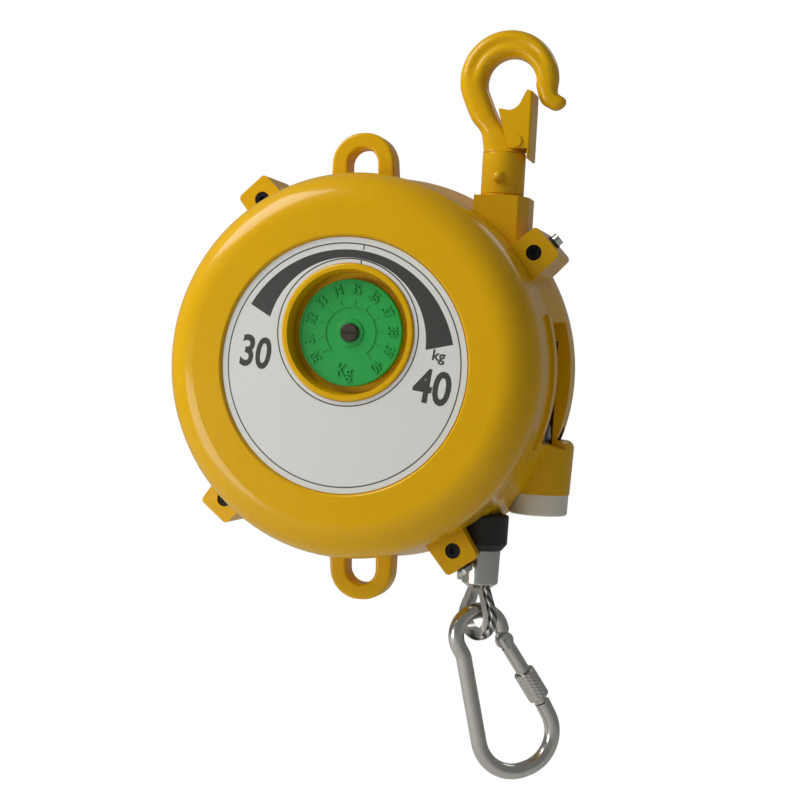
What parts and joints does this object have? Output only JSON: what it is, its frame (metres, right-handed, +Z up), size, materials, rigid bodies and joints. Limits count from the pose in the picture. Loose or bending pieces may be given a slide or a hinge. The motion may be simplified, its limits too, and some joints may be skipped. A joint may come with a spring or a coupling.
{
  "type": "spring balancer",
  "caption": "Spring balancer with a cable drum in a round cast case, a swivel hook above and a carabiner on the cable below.",
  "frame": {"origin": "inside the suspension hook's bowl, at its top, on the line of the hook and the cable", "axes": "+X to the right seen from the dial side, +Y from the dial side to the back, along the drum axis, +Z up"},
  "size_m": [0.2629, 0.1209, 0.4756],
  "materials": {
    "painted_yellow": "gloss",
    "label": "matt",
    "steel_zinc": "satin",
    "black_oxide": "satin",
    "carabiner": "polished",
    "wire_rope": "satin",
    "rubber": "matt",
    "nylon": "matt",
    "dial_green": "matt",
    "bronze": "satin",
    "alloy": "satin"
  },
  "bodies": {
    "hook": {"top_hook": "painted_yellow", "hook_collar": "painted_yellow", "collar_pin": "painted_yellow", "latch_pin": "painted_yellow", "latch_spring": "steel_zinc", "hook_nut": "steel_zinc"},
    "latch": {"hook_latch": "painted_yellow"},
    "case": {"rear_case": "painted_yellow", "front_cover": "painted_yellow", "label_plate": "label", "cover_screws": "black_oxide", "flank_screws": "steel_zinc", "flank_washers": "rubber", "cable_guide": "nylon", "gear_bridge": "alloy", "bridge_screws": "steel_zinc", "front_bush": "bronze", "rear_bush": "bronze", "worm_bush": "bronze", "adjuster_cap": "nylon", "thrust_washer": "steel_zinc"},
    "shaft": {"main_shaft": "steel_zinc", "worm_wheel": "bronze", "wheel_key": "steel_zinc", "spring_arbor": "steel_zinc", "arbor_key": "steel_zinc"},
    "worm": {"worm": "steel_zinc"},
    "dial": {"dial_disc": "dial_green", "dial_gear": "bronze", "dial_screw": "steel_zinc"},
    "drum": {"drum": "alloy", "spring_cover": "alloy", "front_bearing": "steel_zinc", "rear_bearing": "steel_zinc", "mainspring": "steel_zinc", "spring_pin": "steel_zinc", "cable_wound": "wire_rope"},
    "cable_end": {"cable_run": "wire_rope", "rubber_buffer": "rubber", "ferrule": "steel_zinc", "clamp_screw": "steel_zinc", "thimble": "steel_zinc", "cable_eye": "wire_rope"},
    "carabiner": {"carabiner_body": "carabiner", "gate_pin": "steel_zinc"},
    "gate": {"carabiner_gate": "carabiner"},
    "sleeve": {"screw_sleeve": "carabiner"},
    "lock": {"lock_pin": "steel_zinc"}
  },
  "joints": [
    {"name": "latch_pivot", "type": "hinge", "parent": "hook", "child": "latch", "pos_m": [0.0066, 0, -0.0533], "axis": [0, 1, 0], "range_deg": [-40, 0], "stiffness_Nm_per_rad": 0.02, "springref_deg": 28.65},
    {"name": "case_swivel", "type": "hinge", "parent": "hook", "child": "case", "pos_m": [-0.0026, 0, -0.1987], "axis": [0, 0, 1], "continuous": true},
    {"name": "shaft_turn", "type": "hinge", "parent": "case", "child": "shaft", "pos_m": [-0.0788, -0.012, -0.1987], "axis": [0, 1, 0], "range_deg": [-315, 315]},
    {"name": "worm_spin", "type": "hinge", "parent": "case", "child": "worm", "pos_m": [0.0272, 0.026, -0.1987], "axis": [0, 0, 1], "range_deg": [-20160, 20160]},
    {"name": "dial_turn", "type": "hinge", "parent": "case", "child": "dial", "pos_m": [-0.07681, -0.012, -0.1788], "axis": [0, 1, 0], "range_deg": [-135, 135]},
    {"name": "drum_spin", "type": "hinge", "parent": "case", "child": "drum", "pos_m": [-0.0788, -0.012, -0.1987], "axis": [0, 1, 0], "range_deg": [0, 1140], "stiffness_Nm_per_rad": 0.15, "springref_deg": -802.14},
    {"name": "rope_travel", "type": "slide", "parent": "case", "child": "cable_end", "axis": [0, 0, -1], "range_m": [0, 1.5162], "deforming": ["cable_run"]},
    {"name": "carabiner_swing", "type": "hinge", "parent": "cable_end", "child": "carabiner", "pos_m": [-0.00128, 0.00092, -0.36465], "axis": [-0.5736, 0.8192, 0], "range_deg": [-15, 25]},
    {"name": "gate_pivot", "type": "hinge", "parent": "carabiner", "child": "gate", "pos_m": [0.01331, 0.01114, -0.36833], "axis": [-0.5736, 0.8192, 0], "range_deg": [0, 22], "stiffness_Nm_per_rad": 0.05, "springref_deg": -28.65},
    {"name": "sleeve_slide", "type": "slide", "parent": "gate", "child": "sleeve", "axis": [-0.4793, -0.3356, 0.811], "range_m": [0, 0.008]},
    {"name": "lock_slide", "type": "slide", "parent": "case", "child": "lock", "axis": [0.9962, 0, -0.0872], "range_m": [0, 0.006]}
  ],
  "couplings": [
    {"joint": "dial_turn", "follows": "shaft_turn", "ratio": -0.42857},
    {"joint": "worm_spin", "follows": "shaft_turn", "ratio": 64},
    {"joint": "rope_travel", "follows": "drum_spin", "m_per_rad": 0.0762}
  ]
}
